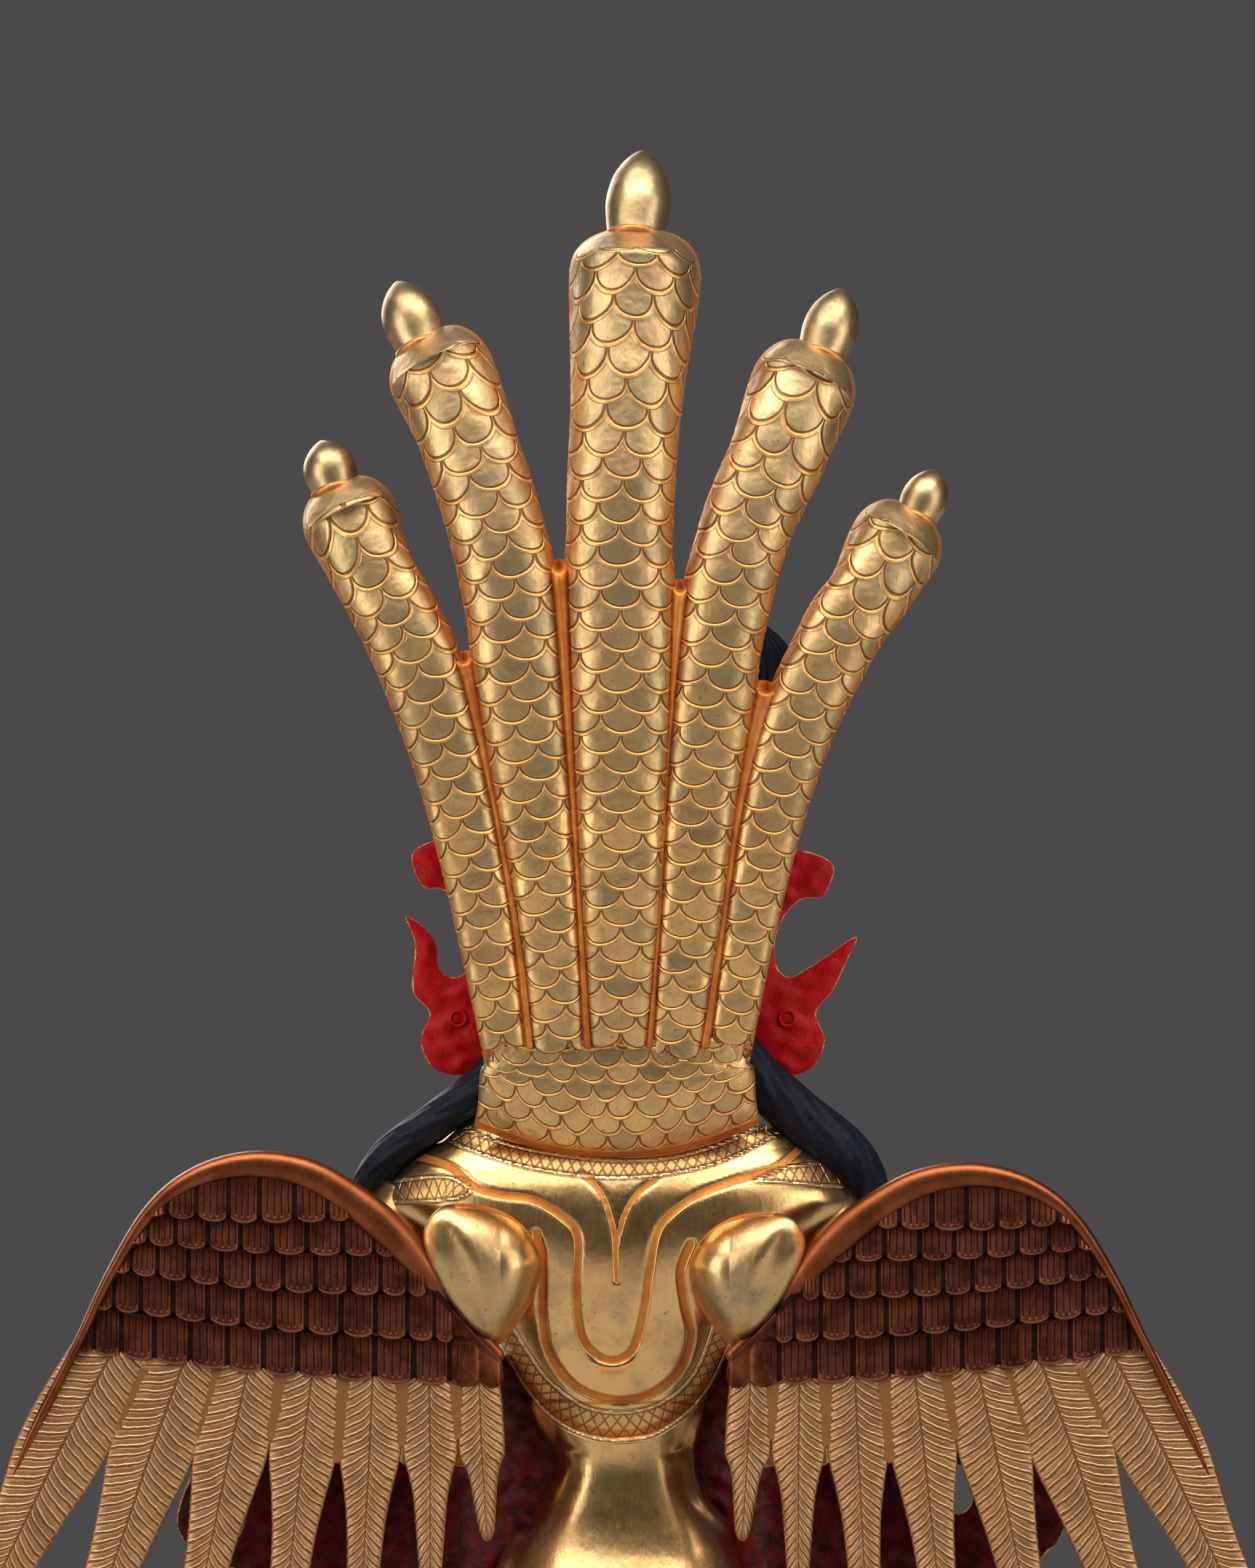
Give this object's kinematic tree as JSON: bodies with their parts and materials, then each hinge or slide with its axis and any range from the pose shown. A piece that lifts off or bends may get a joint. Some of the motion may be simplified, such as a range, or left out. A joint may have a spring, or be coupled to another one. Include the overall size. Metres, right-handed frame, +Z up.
{
  "type": "naga kanya figure",
  "caption": "Winged serpent-maiden figure under a five-headed cobra hood, hands joined, tail coiled on a lotus pedestal.",
  "frame": {"origin": "middle of the lotus pedestal's underside", "axes": "+Z up, the figure faces -Y, its left side is +X"},
  "size_m": [0.2474, 0.1138, 0.3495],
  "materials": {
    "gilt_copper": "fire-gilt copper, burnished, matt orange gilding in the recesses",
    "brown_copper": "brown patinated copper with dark lines",
    "feather_gilt": "matt gilding on the long feathers",
    "red_paint": "satin red paint over copper, gilt edges",
    "hair_paint": "soft gloss navy paint"
  },
  "bodies": {
    "root": {"figure": "gilt_copper", "naga_hood": "gilt_copper", "lotus_base": "gilt_copper", "wing_left": "brown_copper", "wing_right": "brown_copper", "ear_ornament_left": "red_paint", "ear_ornament_right": "red_paint", "scarf_left": "red_paint", "scarf_right": "red_paint"}
  },
  "joints": []
}
